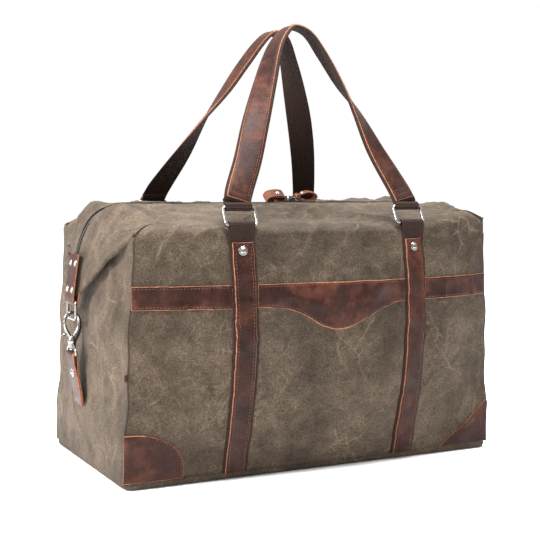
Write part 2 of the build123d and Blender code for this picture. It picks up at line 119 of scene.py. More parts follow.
# The handles' lines: X, Z and the strap's turn about the upright, in degrees.
FRONT_HANDLE_ROUTE = [
    (-117, 328, 0), (-112, 340, 2), (-91, 378, 12), (-71, 420, 30), (-45, 472, 58), (-20, 518, 80),
    (0, 541, 92), (16, 549, 100), (34, 543, 102), (48, 518, 100), (64, 477, 108), (80, 436, 138),
    (94, 390, 166), (112, 344, 178), (117, 328, 180),
]
BACK_HANDLE_ROUTE = [
    (-117, 328, 0), (-112, 341, 4), (-88, 386, 26), (-66, 430, 62), (-44, 470, 86), (-24, 508, 92),
    (-7, 535, 90), (6, 545, 88), (22, 539, 90), (40, 512, 100), (60, 474, 122), (80, 432, 148),
    (98, 388, 168), (112, 346, 178), (117, 328, 180),
]


# ---- materials ----

class Nodes:
    """A material's node tree, with short calls for the nodes this bag needs."""

    def __init__(self, name):
        self.material = bpy.data.materials.new(name)
        self.material.use_nodes = True
        self.tree = self.material.node_tree
        self.shader = self.tree.nodes["Principled BSDF"]

    def add(self, kind, links=(), **values):
        node = self.tree.nodes.new(kind)
        for key, value in values.items():
            setattr(node, key, value)
        for socket, source in links:
            self.put(node.inputs[socket], source)
        return node

    def put(self, socket, source):
        if isinstance(source, bpy.types.NodeSocket):
            self.tree.links.new(source, socket)
        else:
            socket.default_value = source

    def place(self):
        return self.add("ShaderNodeTexCoord").outputs["Object"]

    def noise(self, scale, detail=3.0, rough=0.5, at=None, distortion=0.0):
        node = self.add("ShaderNodeTexNoise", [
            ("Vector", at or self.place()), ("Scale", scale), ("Detail", detail), ("Roughness", rough),
            ("Distortion", distortion),
        ])
        return node.outputs["Fac"]

    def ramp(self, value, stops, smooth=False):
        node = self.add("ShaderNodeValToRGB", [("Fac", value)])
        if smooth:
            node.color_ramp.interpolation = "EASE"
        points = node.color_ramp.elements
        while len(points) < len(stops):
            points.new(0.5)
        for point, (position, colour) in zip(points, stops):
            point.position = position
            point.color = (*colour, 1.0) if isinstance(colour, tuple) else (colour, colour, colour, 1.0)
        return node.outputs["Color"]

    def mix(self, factor, a, b, how="MIX"):
        node = self.add("ShaderNodeMix", data_type="RGBA", blend_type=how)
        for index, source in ((0, factor), (6, a), (7, b)):
            if isinstance(source, tuple):
                source = (*source, 1.0)
            self.put(node.inputs[index], source)
        return node.outputs[2]

    def math(self, how, a, b=0.0):
        node = self.add("ShaderNodeMath", operation=how)
        self.put(node.inputs[0], a)
        self.put(node.inputs[1], b)
        return node.outputs[0]

    def bump(self, height, distance, strength=1.0, under=None):
        links = [("Height", height), ("Distance", distance), ("Strength", strength)]
        if under is not None:
            links.append(("Normal", under))
        return self.add("ShaderNodeBump", links).outputs["Normal"]

    def finish(self, colour=None, roughness=None, normal=None, **fixed):
        for name, source in (("Base Color", colour), ("Roughness", roughness), ("Normal", normal)):
            if isinstance(source, tuple):
                source = (*source, 1.0)
            if source is not None:
                self.put(self.shader.inputs[name], source)
        for name, value in fixed.items():
            self.shader.inputs[name.replace("_", " ")].default_value = value
        return self.material


def ridged(n, value, width):
    """1 along the lines where a noise crosses its middle, 0 away from them."""
    off = n.math("ABSOLUTE", n.math("SUBTRACT", value, 0.5))
    return n.ramp(off, [(0.0, 1.0), (width, 0.0)])


def waxed_canvas(name, dark, mid, light):
    n = Nodes(name)
    broad = n.noise(9.0, 4.0, 0.6)
    cloud = n.noise(34.0, 5.0, 0.65)
    blend = n.math("ADD", n.math("MULTIPLY", broad, 0.5), n.math("MULTIPLY", cloud, 0.5))
    base = n.ramp(blend, [(0.38, dark), (0.5, mid), (0.62, light)])
    veins = ridged(n, n.noise(15.0, 3.0, 0.6, distortion=1.2), 0.022)
    fine_veins = ridged(n, n.noise(48.0, 2.0, 0.6, distortion=0.8), 0.02)
    worn = n.ramp(n.noise(11.0, 2.0), [(0.35, 0.0), (0.65, 1.0)])
    sway = n.add("ShaderNodeTexNoise", [("Vector", n.place()), ("Scale", 22.0), ("Detail", 2.0)])
    swayed = n.add("ShaderNodeVectorMath", operation="MULTIPLY_ADD")
    n.put(swayed.inputs[0], sway.outputs["Color"])
    swayed.inputs[1].default_value = (0.03, 0.03, 0.03)
    n.put(swayed.inputs[2], n.place())
    folds = []
    for scale, width in ((17.0, 0.03), (38.0, 0.035)):
        cells = n.add("ShaderNodeTexVoronoi", [("Vector", swayed.outputs[0]), ("Scale", scale)],
                      feature="DISTANCE_TO_EDGE")
        folds.append(n.ramp(cells.outputs["Distance"], [(0.0, 1.0), (width, 0.0)]))
    creases = n.math("ADD", folds[0], n.math("MULTIPLY", folds[1], 0.5))
    creases = n.math("MULTIPLY", creases, n.ramp(n.noise(19.0, 3.0), [(0.5, 0.0), (0.64, 1.0)]))
    all_veins = n.math("ADD", n.math("MULTIPLY", veins, 0.6), n.math("MULTIPLY", fine_veins, 0.3))
    amount = n.math("MAXIMUM", n.math("MULTIPLY", all_veins, worn), creases)
    pale = tuple(min(1.0, c * 2.3) for c in mid)
    base = n.mix(n.math("MULTIPLY", amount, 0.85), base, pale)
    slub = n.noise(520.0, 3.0, 0.8)
    base = n.mix(1.0, base, n.ramp(slub, [(0.32, 0.45), (0.5, 0.95), (0.68, 1.6)]), "MULTIPLY")
    parts = n.add("ShaderNodeSeparateXYZ", [("Vector", n.place())])
    threads = [n.math("SINE", n.math("MULTIPLY", parts.outputs[axis], 2 * math.pi / pitch))
               for axis, pitch in (("X", 0.0011), ("Y", 0.0011), ("Z", 0.0012))]
    weave = n.math("MULTIPLY", n.math("ADD", threads[0], threads[1]), threads[2])
    normal = n.bump(weave, 0.00012, 0.35)
    normal = n.bump(slub, 0.0004, 0.5, normal)
    normal = n.bump(amount, 0.0008, 0.5, normal)
    normal = n.bump(n.noise(60.0, 4.0, 0.6), 0.0016, 0.5, normal)
    rough = n.ramp(cloud, [(0.3, 0.66), (0.7, 0.86)])
    return n.finish(base, rough, normal, Sheen_Weight=0.03, Sheen_Roughness=0.5, Specular_IOR_Level=0.08)


def pull_up_leather(name, dark, mid, warm):
    n = Nodes(name)
    patch = n.noise(17.0, 5.0, 0.6, distortion=0.6)
    streak = n.noise(75.0, 4.0, 0.7)
    blend = n.math("ADD", n.math("MULTIPLY", patch, 0.65), n.math("MULTIPLY", streak, 0.35))
    base = n.ramp(blend, [(0.34, dark), (0.5, mid), (0.67, warm)])
    bloom = n.ramp(n.noise(26.0, 3.0), [(0.52, 0.0), (0.72, 0.35)])
    base = n.mix(bloom, base, tuple(c + 0.02 for c in mid))
    pores = n.add("ShaderNodeTexVoronoi", [("Vector", n.place()), ("Scale", 950.0)]).outputs["Distance"]
    scuffs = ridged(n, n.noise(120.0, 3.0, 0.7, distortion=2.0), 0.02)
    base = n.mix(n.math("MULTIPLY", scuffs, 0.3), base, tuple(c * 1.5 for c in warm))
    normal = n.bump(pores, 0.0002, 0.4)
    normal = n.bump(n.noise(300.0, 4.0), 0.0004, 0.4, normal)
    rough = n.ramp(streak, [(0.3, 0.38), (0.7, 0.58)])
    return n.finish(base, rough, normal, Specular_IOR_Level=0.1)


def raw_edge(name):
    n = Nodes(name)
    base = n.ramp(n.noise(260.0, 4.0, 0.7), [(0.3, (0.09, 0.027, 0.010)), (0.7, (0.27, 0.095, 0.038))])
    return n.finish(base, 0.8, n.bump(n.noise(1500.0), 0.0003, 0.5))


def ribbed_webbing(name):
    """Ribs across the strap, from the piece's own strap coordinates (metres across and along)."""
    n = Nodes(name)
    uv = n.add("ShaderNodeUVMap", uv_map="strap").outputs["UV"]
    parts = n.add("ShaderNodeSeparateXYZ", [("Vector", uv)])
    ribs = n.math("SINE", n.math("MULTIPLY", parts.outputs["Y"], 2 * math.pi / 0.0017))
    cords = n.math("SINE", n.math("MULTIPLY", parts.outputs["X"], 2 * math.pi / 0.0022))
    weave = n.math("ADD", ribs, n.math("MULTIPLY", cords, 0.4))
    fuzz = n.noise(700.0, 3.0, 0.7)
    base = n.ramp(n.math("ADD", n.math("MULTIPLY", weave, 0.12), fuzz),
                  [(0.25, (0.008, 0.0045, 0.0035)), (0.8, (0.036, 0.020, 0.0155))])
    normal = n.bump(weave, 0.00025, 0.7)
    normal = n.bump(fuzz, 0.0002, 0.5, normal)
    return n.finish(base, 0.9, normal, Sheen_Weight=0.02, Specular_IOR_Level=0.08)


def metal(name, colour, rough):
    n = Nodes(name)
    haze = n.noise(140.0, 4.0, 0.6)
    # Painted reflection: the base colour is darker where the surface faces down and brighter where it faces
    # up, with a bright and a dark band between, standing in for the studio's reflections in the metal.
    facing = n.add("ShaderNodeSeparateXYZ", [("Vector", n.add("ShaderNodeNewGeometry").outputs["Normal"])])
    height = n.math("ADD", n.math("MULTIPLY", facing.outputs["Z"], 0.5), 0.5)
    reflection_levels = [(0.0, 0.14), (0.3, 0.25), (0.42, 0.6), (0.52, 0.34), (0.66, 0.45), (0.85, 1.0)]
    painted_reflection = n.ramp(height, [(at, tuple(c * level for c in colour)) for at, level in reflection_levels])
    roughness = n.ramp(haze, [(0.3, rough * 0.75), (0.7, rough * 1.35)])
    return n.finish(painted_reflection, roughness, n.bump(n.noise(900.0), 0.00005, 0.3), Metallic=1.0)


def plain_cloth(name, dark, light, scale=1200.0):
    n = Nodes(name)
    slub = n.noise(scale, 3.0, 0.7)
    broad = n.ramp(n.noise(30.0, 3.0), [(0.3, dark), (0.7, light)])
    base = n.mix(0.5, broad, n.ramp(slub, [(0.2, dark), (0.8, light)]))
    return n.finish(base, 0.85, n.bump(slub, 0.0003, 0.5), Specular_IOR_Level=0.25)


CANVAS = waxed_canvas(
    "waxed_canvas", (0.028, 0.0197, 0.0135), (0.045, 0.0325, 0.0225), (0.068, 0.0505, 0.036))
LEATHER = pull_up_leather(
    "pull_up_leather", (0.006, 0.0024, 0.0018), (0.02, 0.0066, 0.0045), (0.066, 0.022, 0.013))
PULL_LEATHER = pull_up_leather(
    "pull_leather", (0.045, 0.013, 0.007), (0.085, 0.027, 0.013), (0.14, 0.046, 0.021))
EDGE = raw_edge("raw_leather_edge")
WEBBING = ribbed_webbing("ribbed_webbing")
NICKEL = metal("polished_nickel", (0.44, 0.42, 0.39), 0.24)
# Painted shade: the seam cord's dark colour also stands in for the shadow in each seam's groove.
GROOVE_SHADE_CORD = plain_cloth("seam_shadow_cord", (0.018, 0.013, 0.010), (0.04, 0.03, 0.022))
GUNMETAL = metal("gunmetal", (0.16, 0.155, 0.15), 0.3)
TAPE = plain_cloth("zip_tape", (0.020, 0.017, 0.016), (0.045, 0.038, 0.034))
TEETH = metal("zip_teeth_metal", (0.34, 0.31, 0.27), 0.35)
LINING = plain_cloth("cotton_lining", (0.16, 0.125, 0.085), (0.23, 0.185, 0.13))
BOARD = plain_cloth("stiffener", (0.02, 0.02, 0.02), (0.04, 0.04, 0.04), 300.0)
THREAD = plain_cloth("leather_thread", (0.07, 0.022, 0.012), (0.15, 0.055, 0.03), 2500.0)

# What a slab of each slot is made of: its faces, then its edges.
CLOTH = {"canvas": [CANVAS], "webbing": [WEBBING], "leather": [LEATHER, EDGE]}


# ---- mesh helpers ----

def make_piece(name, points, faces, materials, indices=None, strap_uv=None, smooth=True):
    """A mesh object from points in millimetres."""
    mesh = bpy.data.meshes.new(name)
    mesh.from_pydata([tuple(float(c) * MM for c in p) for p in points], [], faces)
    for material in materials:
        mesh.materials.append(material)
    if indices is not None:
        mesh.polygons.foreach_set("material_index", indices)
    if smooth:
        mesh.polygons.foreach_set("use_smooth", [True] * len(mesh.polygons))
    if strap_uv is not None:
        layer = mesh.uv_layers.new(name="strap")
        for loop in mesh.loops:
            layer.data[loop.index].uv = strap_uv[loop.vertex_index]
    mesh.validate()
    mesh.update()
    piece = bpy.data.objects.new(name, mesh)
    bpy.context.scene.collection.objects.link(piece)
    return piece


def attach(piece, body, nodes=()):
    """Ties a piece to its body, and hides the CAD nodes that it stands for."""
    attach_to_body(piece, body)
    if nodes:
        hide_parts(*nodes)


def stacked(name, rings, material):
    """A closed body through rings of points, with the first and the last ring filled in."""
    count = len(rings[0])
    faces = [tuple(range(count))[::-1], tuple((len(rings) - 1) * count + i for i in range(count))]
    for start in range(0, (len(rings) - 1) * count, count):
        for i in range(count):
            j = (i + 1) % count
            faces.append((start + i, start + j, start + count + j, start + count + i))
    return make_piece(name, [point for ring in rings for point in ring], faces, [material])


def unit(vectors):
    return vectors / np.maximum(np.linalg.norm(vectors, axis=-1, keepdims=True), 1e-9)


def grid_normals(grid):
    return unit(np.cross(np.gradient(grid, axis=0), np.gradient(grid, axis=1)))


def slab(name, grid, low, high, materials, flip=False, rim=(0.35, 0.8), uv=None):
    """A sheet with real thickness: the grid moved out to low and high along its normals.

    The outer face falls towards the edges by the rim factors, so edges catch light. The last material
    covers the edge walls and the outermost strip of the face.
    """
    rows, columns = grid.shape[:2]
    count = rows * columns
    normals = grid_normals(grid) * (-1 if flip else 1)
    from_end, from_side = (np.minimum(np.arange(n), np.arange(n)[::-1]) for n in (rows, columns))
    from_edge = np.minimum(from_end[:, None], from_side[None, :])
    lift = np.ones((rows, columns))
    for depth, factor in enumerate(rim):
        lift[from_edge == depth] = factor
    top = grid + normals * (low + (high - low) * lift)[..., None]
    bottom = grid + normals * low
    points = np.concatenate([top.reshape(-1, 3), bottom.reshape(-1, 3)])

    def at(i, j, layer):
        return layer * count + i * columns + j

    faces, kinds = [], []
    wall = len(materials) - 1
    for i in range(rows - 1):
        for j in range(columns - 1):
            faces.append((at(i, j, 0), at(i + 1, j, 0), at(i + 1, j + 1, 0), at(i, j + 1, 0)))
            faces.append((at(i, j, 1), at(i, j + 1, 1), at(i + 1, j + 1, 1), at(i + 1, j, 1)))
            kinds += [wall if i in (0, rows - 2) or j in (0, columns - 2) else 0, 0]
    border = [(i, 0) for i in range(rows)] + [(rows - 1, j) for j in range(1, columns)]
    border += [(i, columns - 1) for i in range(rows - 2, -1, -1)]
    border += [(0, j) for j in range(columns - 2, 0, -1)]
    for (i, j), (k, m) in zip(border, border[1:] + border[:1]):
        faces.append((at(i, j, 0), at(i, j, 1), at(k, m, 1), at(k, m, 0)))
        kinds.append(wall)
    if flip:
        faces = [tuple(reversed(f)) for f in faces]
    strap_uv = None
    if uv is not None:
        flat = uv.reshape(-1, 2) * MM
        strap_uv = np.concatenate([flat, flat])
    return make_piece(name, points, faces, materials, kinds, strap_uv)


def edged(low, high, count, edge=0.6):
    """Steps from low to high with two short ones at each end, for a rounded rim."""
    middle = list(np.linspace(low + 2.4 * edge, high - 2.4 * edge, count))
    return np.array([low, low + edge] + middle + [high - edge, high])


def run_along(path):
    """The distance from a path's start to each of its points."""
    return np.concatenate([[0], np.cumsum(np.linalg.norm(np.diff(path, axis=0), axis=1))])


def point_at(distance, runs, path):
    return np.array([np.interp(distance, runs, path[:, c]) for c in range(3)])


def through(points, share):
    """Smooth curve through the points, by the share (0 to 1) of the run of their first two values."""
    pts = np.array(points, float)
    chords = run_along(pts[:, :2])
    place = np.clip(np.asarray(share, float), 0, 1) * chords[-1]
    result = np.empty((len(place), pts.shape[1]))
    slopes = np.empty_like(pts)
    slopes[1:-1] = (pts[2:] - pts[:-2]) / (chords[2:] - chords[:-2])[:, None]
    slopes[0] = (pts[1] - pts[0]) / (chords[1] - chords[0])
    slopes[-1] = (pts[-1] - pts[-2]) / (chords[-1] - chords[-2])
    for row, s in enumerate(place):
        i = min(int(np.searchsorted(chords, s, "right")) - 1, len(pts) - 2)
        h = chords[i + 1] - chords[i]
        t = (s - chords[i]) / h
        result[row] = (
            (2 * t**3 - 3 * t**2 + 1) * pts[i] + (t**3 - 2 * t**2 + t) * h * slopes[i]
            + (3 * t**2 - 2 * t**3) * pts[i + 1] + (t**3 - t**2) * h * slopes[i + 1]
        )
    return result


def through_route(route, share):
    """The same for X, Y, Z points that run in the X, Z plane."""
    return through([(x, z, y) for x, y, z in route], share)[:, [0, 2, 1]]


def pinch(rows, gap=0.6):
    """Adds a row just inside each end, so that a strap's raw edge stays narrow there."""
    def inside(end, beyond):
        reach = np.linalg.norm(beyond - end, axis=-1).mean()
        return end + (beyond - end) * (gap / reach)

    second, last_but_one = inside(rows[0], rows[1]), inside(rows[-1], rows[-2])
    return np.concatenate([rows[:1], [second], rows[1:-1], [last_but_one], rows[-1:]])


def smooth_step(value, low, high):
    t = np.clip((value - low) / (high - low), 0, 1)
    return t * t * (3 - 2 * t)


def bell(value, middle, width):
    """1 at the middle, falling away on both sides over about the width."""
    return np.exp(-(((value - middle) / width) ** 2))


def rough_at(points, scale, seed, octaves=3):
    """Fractal noise about 0 at each point, with features of about scale millimetres."""
    flat = points.reshape(-1, 3) / scale
    values = [noise.fractal(Vector((x + seed, y, z)), 1.0, 2.0, octaves) for x, y, z in flat]
    return np.array(values).reshape(points.shape[:-1])


def creases_at(points, scale, seed):
    """Soft raised fold lines: 1 on a line, 0 away from it."""
    return np.clip(1 - np.abs(rough_at(points, scale, seed, 2)) * 4.5, 0, 1) ** 2.5


def crumple_at(points, scale, seed):
    """Straight folds where stiff cloth has crumpled: 1 on a fold, 0 between."""
    result = []
    for x, y, z in points.reshape(-1, 3) / scale:
        near = noise.voronoi(Vector((x + seed, y + 0.37 * z, z)))[0]
        result.append(math.exp(-(((near[1] - near[0]) / 0.11) ** 2)))
    return np.array(result).reshape(points.shape[:-1])


def relief(points, seed, amount=1.0):
    """How far the canvas stands in or out of its fair shape: slack, folds and creases."""
    slack = sum(height * rough_at(points, size, seed + shift) for height, size, shift in SLACK)
    folds = sum(height * creases_at(points, size, seed + shift) for height, size, shift in SOFT_FOLDS)
    height, size, shift = CRUMPLE
    patches = np.clip(0.5 + 2 * rough_at(points, 120.0, seed + 13), 0, 1)
    return amount * (slack + folds + height * crumple_at(points, size, seed + shift) * patches - MEAN_RELIEF)


def mirrored(grid, axis):
    copy = grid.copy()
    copy[..., axis] *= -1
    return copy


def on_side(side, grid):
    """A grid built for the front, on the side asked for."""
    return mirrored(grid, 1) if side == "back" else grid


# ---- body shape ----

def seam_x(z):
    """Half length at a height, with the seam's slight unevenness."""
    z = np.asarray(z, float)
    wobble = 1.2 * np.sin(z / 23.0) + 0.8 * np.sin(z / 9.5 + 1.0)
    return HALF_LENGTH - END_TAPER * z + wobble * smooth_step(z, 15, 60) * (1 - smooth_step(z, 250, 290))


def corner_drop(x, z):
    """How far the shoulder sags towards the top corners; the fuller right end stands higher instead."""
    sag = CORNER_DROP * smooth_step(np.abs(x) / seam_x(np.minimum(z, SHOULDER_Z)), 0.88, 1.0)
    return (sag - RIGHT_SWELL * smooth_step(x, *SWELL_X)) * smooth_step(z, 235, 300)


def seam_hold(from_seam, reach, rise):
    """How free the canvas is to fold: a little close to a seam, fully past the reach and the rise."""
    return 0.25 * smooth_step(from_seam, 0, 5) + 0.75 * (smooth_step(from_seam, 0, reach) * rise)


def fair_front_y(x, z):
    across = 1 - np.minimum(np.abs(x) / seam_x(z), 1) ** 3
    return -(HALF_DEPTH + FRONT_BULGE * across * np.sin(0.83 * math.pi * z / SHOULDER_Z))


def front_shape(x, z, seed=0.0):
    """Points of the front canvas, folds included; z over the curl start runs on along the turn-over."""
    x, z = np.broadcast_arrays(np.asarray(x, float), np.asarray(z, float))
    turn = np.clip((z - CURL_START_Z) / CURL_RISE, 0, 1) * math.pi / 2
    height = np.minimum(z, CURL_START_Z)
    start = fair_front_y(x, height)
    y = start + (-HINGE_Y - start) * (1 - np.cos(turn))
    points = np.stack([x, y, height + CURL_RISE * np.sin(turn)], axis=-1)
    from_seam = (1 - np.abs(x) / seam_x(np.minimum(z, SHOULDER_Z))) * HALF_LENGTH
    from_strap = np.abs(x) - STRAP_X
    fading = 1 - turn / 1.6
    hold = seam_hold(from_seam, 28, smooth_step(z, 6, 40) * (1 - smooth_step(turn, 1.0, 1.57)))
    folds = relief(points, 11.0 + seed) * hold * (1 - 0.6 * bell(from_strap, 0, 22.0))
    groove = -SEAM_GROOVE * bell(from_seam, 0, 2.2) * fading
    strap_pull = -2.0 * bell(from_strap, 0, 16.0) * smooth_step(z, 20, 80) * fading
    lift = folds + groove + strap_pull
    points[..., 2] -= corner_drop(x, z)
    points[..., 1] -= lift * np.cos(turn)
    points[..., 2] += lift * np.sin(turn) * 0.6
    return points


def canvas_panel(name, grid, flip, node):
    piece = slab(name, grid, -CANVAS_THICKNESS, 0, [CANVAS], flip=flip, rim=())
    attach(piece, "bag", (node,))


def front_and_back():
    curl = CURL_START_Z + CURL_RISE * np.linspace(0.08, 1, 14)
    heights = np.concatenate([np.linspace(FOOT_Z, CURL_START_Z, 120), curl])
    across = np.concatenate([[-1, -0.996, -0.99], np.linspace(-0.98, 0.98, 200), [0.99, 0.996, 1]])
    xs = across[:, None] * seam_x(np.minimum(heights, SHOULDER_Z))[None, :]
    for side in SIDES:
        grid = on_side(side, front_shape(xs, np.broadcast_to(heights, xs.shape), FOLD_SEED[side]))
        canvas_panel(f"{side}_canvas", grid, side == "back", f"{side}_panel")


def ends():
    v = np.concatenate([[-1, -0.99, -0.975], np.linspace(-0.95, 0.95, 90), [0.975, 0.99, 1]])[:, None]
    share = np.linspace(0, 1, 90)[None, :]
    top = END_TOP_Z + 2 - CORNER_DROP - END_DIP * (1 - np.abs(v))
    z = FOOT_Z + share * (top - FOOT_Z)
    across = 1 - np.abs(v) ** 3
    x = -(seam_x(z) + END_BULGE * across * np.maximum(np.sin(math.pi * z / END_TOP_Z), 0))
    y = v * HALF_DEPTH + 0 * z
    fair = np.stack([x, y, z], axis=-1)
    from_seam = (1 - np.abs(v)) * HALF_DEPTH
    hold = seam_hold(from_seam, 26, smooth_step(z, 6, 36))
    under_tab = 1 - 0.75 * bell(y, 0, 26.0)
    for side, seed in (("left", 61.0), ("right", 83.0)):
        grid = fair.copy()
        grid[..., 0] -= relief(fair, seed) * hold * under_tab - SEAM_GROOVE * bell(from_seam, 0, 2.2)
        if side == "right":
            grid = mirrored(grid, 0)
            grid[..., 2] += RIGHT_SWELL * (np.abs(v) * share) ** 3
        canvas_panel(f"{side}_end_canvas", grid, side == "left", f"{side}_end_panel")


def corner_seams():
    """The four upright seams, each a dark round cord sunk between the panels: a dark welt on the seam, whose
    colour is also painted shade of the seam's groove.
    """
    heights = np.linspace(9.5, SEAM_TOP_Z, 90)
    for end, sx in (("left", -1), ("right", 1)):
        for side in SIDES:
            line = [(sx * (seam_x(z) - 0.7), OUTWARD[side] * (HALF_DEPTH - 0.7), z) for z in heights]
            path = np.array(line, float)
            ahead = unit(np.gradient(path, axis=0))
            aside = unit(np.cross(ahead, (0.3, 0.9, 0.1)))
            up = np.cross(aside, ahead)
            turns = np.linspace(0, 2 * math.pi, 8, endpoint=False)
            rings = np.stack([path + aside * math.cos(a) + up * math.sin(a) for a in turns], axis=1)
            attach(stacked(f"seam_{end}_{side}", rings, GROOVE_SHADE_CORD), "bag")


def rounded_outline(half_x, half_y, radius, count=14):
    points = []
    for quarter in range(4):
        sx = 1 if quarter in (0, 3) else -1
        sy = 1 if quarter in (0, 1) else -1
        centre = (sx * (half_x - radius), sy * (half_y - radius))
        for step in range(count + 1):
            angle = (quarter + step / count) * math.pi / 2
            points.append((centre[0] + radius * math.cos(angle), centre[1] + radius * math.sin(angle)))
    return points


def bottom_panel():
    """The turned-up base: flat underneath, a rounded edge and a stitched-in rim."""
    profile = [(-7, 0), (-3.2, 0.3), (-1, 1.6), (0, 4), (0.3, 6.2), (0, 8.4), (-1.2, 9.4), (-4, 9.6)]
    rings = [[(x, y, z) for x, y in rounded_outline(256 + out, 130 + out, 11 + out)] for out, z in profile]
    attach(stacked("bottom_canvas", rings, CANVAS), "bag", ("bottom_panel",))


# ---- top ----

def top_rails():
    """The zip line and the shoulder line, point by point, from the left wing's fold to the right's."""
    xs = np.linspace(-WING_START_X, WING_START_X, 130)[1:-1]
    rails = []
    for wing_line, y, z in ((RIDGE_END, 0, RIDGE_Z), (SIDE_END, -HINGE_Y, HINGE_Z)):
        wing = through_route(wing_line, np.linspace(0, 1, 34))
        straight = np.stack([xs, y + 0 * xs, z + 0 * xs], axis=-1)
        rails.append(np.concatenate([mirrored(wing, 0)[::-1], straight, wing]))
    ridge, side = rails
    side[:, 2] += RIGHT_SWELL * smooth_step(side[:, 0], *SWELL_X)
    return ridge, side


def skyward_normals(grid):
    """The grid's normals, all turned to the side that is up in its middle."""
    normals = grid_normals(grid)
    return normals * np.sign(normals[len(grid) // 2, :, 2].mean())


def top_surface(near, far, count, seed, arch_height, arch_shape):
    """The top canvas between two distances from the zip, with its fold lines and slack."""
    ridge, side = top_rails()
    k = (edged(near, far, count, 1.0) / HINGE_Y)[None, :, None]
    grid = ridge[:, None, :] * (1 - k) + side[:, None, :] * k
    across = k[..., 0]
    share = np.clip(across, 0, 1)
    arch = arch_height * np.sin(math.pi * share) ** arch_shape
    rail_x = np.abs((ridge[:, None, 0] + side[:, None, 0]) / 2)
    puff = 11.0 * bell(rail_x, 226, 14.0) * np.sin(math.pi * share) ** 0.8
    hold = smooth_step(across * HINGE_Y, 4, 30) * smooth_step((1 - across) * HINGE_Y, 0, 30)
    slack = relief(grid, seed, 1.3) * (0.15 + 0.85 * hold)
    slant = grid[..., 0] - (-34 + 74 * share)       # distance from the line of the fold by the pulls
    dimple = -6.5 * bell(slant, 16, 17.0) * np.sin(math.pi * np.clip(share * 1.1, 0, 1))
    fold = 3.6 * bell(slant, -9, 7.0) * np.sin(math.pi * np.clip(share * 1.15, 0, 1))
    saddle = -3.0 * bell(np.abs(grid[..., 0]), 192, 15.0) * hold
    return grid + skyward_normals(grid) * (slack + arch + dimple + fold + saddle + puff)[..., None]


def hem(grid):
    """Turns the wing's lower fold under: adds rows that roll inwards and run back up behind."""
    share = np.linspace(0, 1, grid.shape[1])[:, None]
    radius = 2.6 * (1 - smooth_step(share, 0.82, 1.0)) + 0.4
    rolled = []
    for row, beyond, towards in ((grid[0], grid[1], 1.0), (grid[-1], grid[-2], -1.0)):
        down = unit(row - beyond)
        inward = np.array([towards, 0.0, 0.0]) + 0 * down
        inward = unit(inward - down * np.sum(inward * down, axis=1, keepdims=True))
        rows = [row + down * radius * math.sin(angle) + inward * radius * (1 - math.cos(angle))
                for angle in np.linspace(math.pi / 6, math.pi, 6)]
        rows += [row - down * back * (radius / 3) + inward * (radius * 2 + back * 0.05)
                 for back in (6, 14, 22)]
        rolled.append(rows)
    return np.concatenate([rolled[0][::-1], grid, rolled[1]])


def blend_flap(piece):
    """Bakes the piece's transform into its mesh."""
    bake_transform(piece)


def top_canvas():
    nodes = {"front": ("front_top_flap", "left_wing"), "back": ("back_top_flap", "right_wing")}
    for side, form in (("front", (23.0, 2.0, 1.0)), ("back", (57.0, 5.5, 0.6))):
        grid = on_side(side, hem(top_surface(4.5, HINGE_Y + 1.0, 40, *form)))
        piece = slab(f"{side}_top_canvas", grid, -1.3, 0, [CANVAS], flip=side == "front", rim=())
        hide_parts(*nodes[side])
        blend_flap(piece)
        tape = top_surface(1.9, 13.0, 5, *form)
        tape = on_side(side, tape - skyward_normals(tape) * 2.0)
        piece = slab(f"{side}_zip_tape", tape, -0.8, 0, [TAPE], flip=side == "front", rim=())
        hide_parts(*(("zip_ends",) if side == "front" else ()))
        blend_flap(piece)


def zip_teeth():
    """Metal teeth, a small block each, alternating from the two tapes."""
    ridge, _ = top_rails()
    runs = run_along(ridge)
    ring = ((-1, -1), (1, -1), (1, 1), (-1, 1))
    quads = ((0, 3, 2, 1), (4, 5, 6, 7), (0, 1, 5, 4), (1, 2, 6, 5), (2, 3, 7, 6), (3, 0, 4, 7))
    for side, phase in (("front", 0.0), ("back", 0.5)):
        points, faces = [], []
        for index in range(int((runs[-1] - 2 * TEETH_START) / TEETH_PITCH)):
            distance = TEETH_START + (index + phase) * TEETH_PITCH
            centre = point_at(distance, runs, ridge)
            ahead = unit(point_at(distance + 1, runs, ridge) - centre)
            up = np.cross(ahead, (0, 1, 0))
            up *= -1 if up[2] < 0 or (abs(up[2]) < 1e-6 and up[0] * centre[0] < 0) else 1
            middle = centre + np.array([0, OUTWARD[side] * 1.3, 0])
            faces += [tuple(len(points) + i for i in q) for q in quads]
            for level, narrow in ((-1.4, 1.0), (0.6, 0.8)):
                for da, dy in ring:
                    across = np.array([0, dy * 1.55 * narrow, 0])
                    points.append(middle + ahead * (0.62 * da * narrow) + across + up * level)
        piece = make_piece(f"{side}_zip_teeth", points, faces, [TEETH], smooth=False)
        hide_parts(f"{side}_zip_half")
        blend_flap(piece)


# ---- stitching ----

# One thread dash: shares of its half length, half width and rise, and its faces.
DASH = ((-1, 0, -0.2), (-0.6, 1, 0), (0.6, 1, 0), (1, 0, -0.2), (0.6, -1, 0), (-0.6, -1, 0), (-0.45, 0, 1),
        (0.45, 0, 1))
DASH_FACES = ((0, 6, 1), (1, 6, 7, 2), (2, 7, 3), (3, 7, 4), (4, 7, 6, 5), (5, 6, 0), (0, 1, 2, 3, 4, 5))
DASH_RISE = 0.42


